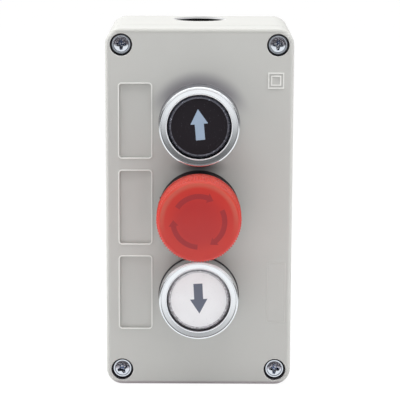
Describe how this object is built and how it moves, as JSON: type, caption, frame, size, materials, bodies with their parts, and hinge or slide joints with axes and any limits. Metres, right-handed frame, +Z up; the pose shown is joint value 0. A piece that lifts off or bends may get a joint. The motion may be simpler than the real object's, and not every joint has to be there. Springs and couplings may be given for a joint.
{
  "type": "pushbutton control station",
  "caption": "Wall-mounted plastic control box with up and down pushbuttons in metal bezels and a red twist-release stop mushroom between them.",
  "frame": {"origin": "centre of the flat back face, which lies on the wall", "axes": "+Z up, +X to the right seen from the front, -Y out of the wall towards the operator"},
  "size_m": [0.0706, 0.079, 0.137],
  "materials": {
    "box_grey": "moulded light grey plastic, fine satin texture",
    "seal_black": "black rubber",
    "screw_zinc": "bright zinc-plated steel",
    "bezel_chrome": "satin chrome-plated metal",
    "body_black": "black moulded plastic",
    "nut_grey": "grey glass-filled plastic",
    "carrier_zinc": "die-cast zinc",
    "cap_smoke": "polished dark lens",
    "cap_clear": "polished clear lens",
    "disc_black": "black printed disc",
    "disc_white": "white printed disc",
    "arrow_pale_blue": "pale blue-grey ink",
    "arrow_slate": "slate ink",
    "plunger_ivory": "ivory moulded plastic",
    "spring_steel": "spring steel wire and strip",
    "block_black": "dark grey moulded plastic",
    "contact_brass": "brass strip",
    "head_red": "moulded red plastic, satin",
    "head_arrow_red": "darker red moulding",
    "shaft_steel": "turned steel"
  },
  "bodies": {
    "enclosure": {"base_shell": "box_grey", "front_cover": "box_grey", "cover_gasket": "seal_black", "cover_screws": "screw_zinc", "up_bezel": "bezel_chrome", "up_panel_seal": "seal_black", "up_barrel": "body_black", "up_lock_nut": "nut_grey", "up_carrier": "carrier_zinc", "up_return_spring": "spring_steel", "up_contact_housing": "block_black", "up_fixed_contacts": "contact_brass", "up_terminal_screws": "screw_zinc", "down_bezel": "bezel_chrome", "down_panel_seal": "seal_black", "down_barrel": "body_black", "down_lock_nut": "nut_grey", "down_carrier": "carrier_zinc", "down_return_spring": "spring_steel", "down_contact_housing": "block_black", "down_fixed_contacts": "contact_brass", "down_terminal_screws": "screw_zinc", "stop_collar": "body_black", "stop_panel_seal": "seal_black", "stop_barrel": "body_black", "stop_latch_ring": "spring_steel", "stop_lock_nut": "nut_grey", "stop_carrier": "carrier_zinc", "stop_return_spring": "spring_steel", "stop_contact_housing": "block_black", "stop_fixed_contacts": "contact_brass", "stop_terminal_screws": "screw_zinc"},
    "up_button": {"up_cap": "cap_smoke", "up_symbol_disc": "disc_black", "up_arrow": "arrow_pale_blue", "up_stem": "plunger_ivory", "up_stem_clip": "spring_steel", "up_contact_plunger": "plunger_ivory", "up_contact_bridge": "contact_brass", "up_contact_spring": "spring_steel"},
    "down_button": {"down_cap": "cap_clear", "down_symbol_disc": "disc_white", "down_arrow": "arrow_slate", "down_stem": "plunger_ivory", "down_stem_clip": "spring_steel", "down_contact_plunger": "plunger_ivory", "down_contact_bridge": "contact_brass", "down_contact_spring": "spring_steel"},
    "stop_plunger": {"stop_shaft": "shaft_steel", "stop_shaft_clip": "spring_steel", "stop_contact_plunger": "plunger_ivory", "stop_contact_bridge": "contact_brass", "stop_contact_spring": "spring_steel"},
    "stop_knob": {"stop_head": "head_red", "stop_head_arrows": "head_arrow_red"}
  },
  "joints": [
    {"name": "up_press", "type": "slide", "parent": "enclosure", "child": "up_button", "axis": [0, 1, 0], "range_m": [0, 0.004], "stiffness_N_per_m": 500, "springref_m": -0.004, "deforming": ["up_return_spring"]},
    {"name": "down_press", "type": "slide", "parent": "enclosure", "child": "down_button", "axis": [0, 1, 0], "range_m": [0, 0.004], "stiffness_N_per_m": 500, "springref_m": -0.004, "deforming": ["down_return_spring"]},
    {"name": "stop_press", "type": "slide", "parent": "enclosure", "child": "stop_plunger", "axis": [0, 1, 0], "range_m": [0, 0.004], "deforming": ["stop_return_spring"]},
    {"name": "stop_twist", "type": "hinge", "parent": "stop_plunger", "child": "stop_knob", "pos_m": [0, -0.056, 0], "axis": [0, 1, 0], "range_deg": [0, 45], "stiffness_Nm_per_rad": 0.01, "springref_deg": -11.46}
  ]
}
